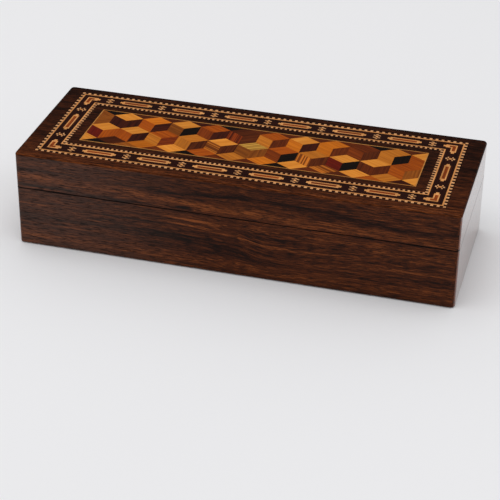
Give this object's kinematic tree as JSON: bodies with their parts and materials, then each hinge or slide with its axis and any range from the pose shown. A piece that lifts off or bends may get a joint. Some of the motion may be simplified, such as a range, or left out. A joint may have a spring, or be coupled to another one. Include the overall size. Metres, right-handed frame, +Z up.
{
  "type": "playing card box",
  "caption": "Rosewood-veneered playing card box with a hinged lid, inlaid with a mosaic band and a panel of tumbling-block cubes; divided inside for packs of cards.",
  "frame": {"origin": "middle of the underside, on the surface that the box stands on", "axes": "+X along the box to its right end, +Y to the hinged back, +Z up; the front faces -Y"},
  "size_m": [0.235, 0.085, 0.054],
  "materials": {
    "carcase_wood": "plain oiled mahogany",
    "rosewood_veneer": "french polished, semi-gloss",
    "rosewood_solid": "waxed, satin",
    "baize": "matt wool baize",
    "well_baize": "matt wool baize",
    "lining_paper": "matt paper",
    "brass": "dulled brass",
    "brass_pin": "drawn brass",
    "brass_screw": "dulled brass",
    "boxwood_and_ebony": "french polished, semi-gloss",
    "boxwood": "french polished, semi-gloss",
    "mosaic_woods": "french polished, semi-gloss",
    "satinwood": "french polished, semi-gloss",
    "kingwood": "french polished, semi-gloss",
    "dark_rosewood": "french polished, semi-gloss",
    "ebony": "french polished, semi-gloss"
  },
  "bodies": {
    "base": {"base_front_wall": "carcase_wood", "base_right_wall": "carcase_wood", "base_back_wall": "carcase_wood", "base_left_wall": "carcase_wood", "base_front_veneer": "rosewood_veneer", "base_right_veneer": "rosewood_veneer", "base_back_veneer": "rosewood_veneer", "base_left_veneer": "rosewood_veneer", "base_front_facing": "rosewood_solid", "base_right_facing": "rosewood_solid", "base_back_facing": "rosewood_solid", "base_left_facing": "rosewood_solid", "bottom_board": "carcase_wood", "bottom_cover": "baize", "left_partition": "rosewood_solid", "right_partition": "rosewood_solid", "left_well_lining": "well_baize", "middle_well_lining": "well_baize", "right_well_lining": "well_baize", "left_hinge_base_leaf": "brass", "right_hinge_base_leaf": "brass", "left_hinge_pin": "brass_pin", "right_hinge_pin": "brass_pin", "base_hinge_screws": "brass_screw"},
    "lid": {"lid_front_wall": "carcase_wood", "lid_right_wall": "carcase_wood", "lid_back_wall": "carcase_wood", "lid_left_wall": "carcase_wood", "lid_front_veneer": "rosewood_veneer", "lid_right_veneer": "rosewood_veneer", "lid_back_veneer": "rosewood_veneer", "lid_left_veneer": "rosewood_veneer", "lid_front_facing": "rosewood_solid", "lid_right_facing": "rosewood_solid", "lid_back_facing": "rosewood_solid", "lid_left_facing": "rosewood_solid", "lid_board": "carcase_wood", "lid_lining": "lining_paper", "top_outer_border": "rosewood_veneer", "outer_stringing_band": "boxwood_and_ebony", "main_mosaic_band": "mosaic_woods", "inner_stringing_band": "boxwood_and_ebony", "top_inner_border": "rosewood_veneer", "panel_stringing": "boxwood", "cube_tops": "satinwood", "cube_left_faces": "kingwood", "cube_right_faces": "dark_rosewood", "panel_edge_triangles": "ebony", "left_hinge_lid_leaf": "brass", "right_hinge_lid_leaf": "brass", "lid_hinge_screws": "brass_screw"}
  },
  "joints": [
    {"name": "lid_hinge", "type": "hinge", "parent": "base", "child": "lid", "pos_m": [0, 0.0411, 0.0338], "axis": [-1, 0, 0], "range_deg": [0, 100]}
  ]
}
